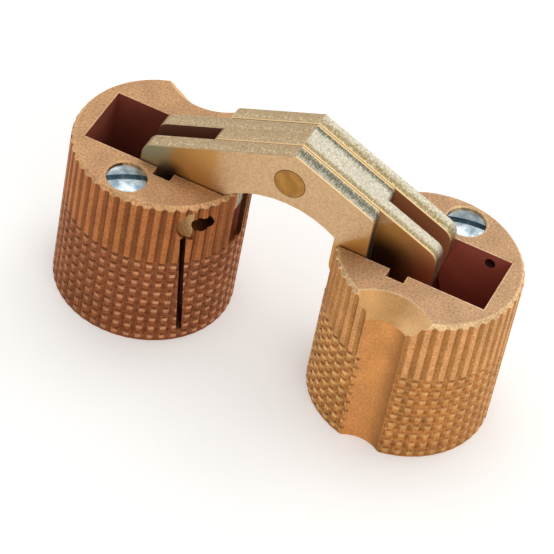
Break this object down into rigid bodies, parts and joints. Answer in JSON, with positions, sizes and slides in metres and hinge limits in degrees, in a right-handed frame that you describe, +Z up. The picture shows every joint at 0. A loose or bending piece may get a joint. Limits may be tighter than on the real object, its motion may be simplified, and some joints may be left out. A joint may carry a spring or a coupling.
{
  "type": "concealed cylinder hinge",
  "caption": "Concealed cylinder hinge: ribbed brass barrels with deep pockets, joined by a crossed stack of pivoting link plates that fold from fully open to face to face.",
  "frame": {"origin": "bottom centre of the open hinge: midway between the barrel axes, at the barrels' bottom faces", "axes": "+X from the left barrel to the right one, -Y the front, +Z up out of the barrels' open tops"},
  "size_m": [0.061, 0.024, 0.035],
  "materials": {
    "barrel_brass": "cast, finely granular, satin",
    "link_brass": "yellow passivated sheet, satin faces and bright sheared edges",
    "rivet_brass": "satin",
    "zinc": "bright zinc plated",
    "pin_steel": "ground"
  },
  "bodies": {
    "left_half": {"left_barrel": "barrel_brass", "left_clamp_screw": "zinc", "left_pivot_pin": "pin_steel"},
    "right_links": {"right_link_front": "link_brass", "right_link_rear": "link_brass", "centre_rivet": "rivet_brass", "right_slider_pin": "pin_steel"},
    "left_links": {"left_link_front": "link_brass", "left_link_rear": "link_brass", "left_slider_pin": "pin_steel"},
    "right_half": {"right_barrel": "barrel_brass", "right_clamp_screw": "zinc", "right_pivot_pin": "pin_steel"}
  },
  "joints": [
    {"name": "left_pivot", "type": "hinge", "parent": "left_half", "child": "right_links", "pos_m": [-0.0093, 0, 0.02055], "axis": [0, -1, 0], "range_deg": [0, 112.5]},
    {"name": "rivet_pivot", "type": "hinge", "parent": "right_links", "child": "left_links", "pos_m": [0, 0, 0.03035], "axis": [0, -1, 0], "range_deg": [-45, 0]},
    {"name": "right_pivot", "type": "hinge", "parent": "left_links", "child": "right_half", "pos_m": [0.0093, 0, 0.02055], "axis": [0, -1, 0], "range_deg": [0, 112.5]}
  ],
  "couplings": [
    {"joint": "rivet_pivot", "follows": "left_pivot", "ratio": -0.4},
    {"joint": "right_pivot", "follows": "left_pivot", "ratio": 1}
  ]
}
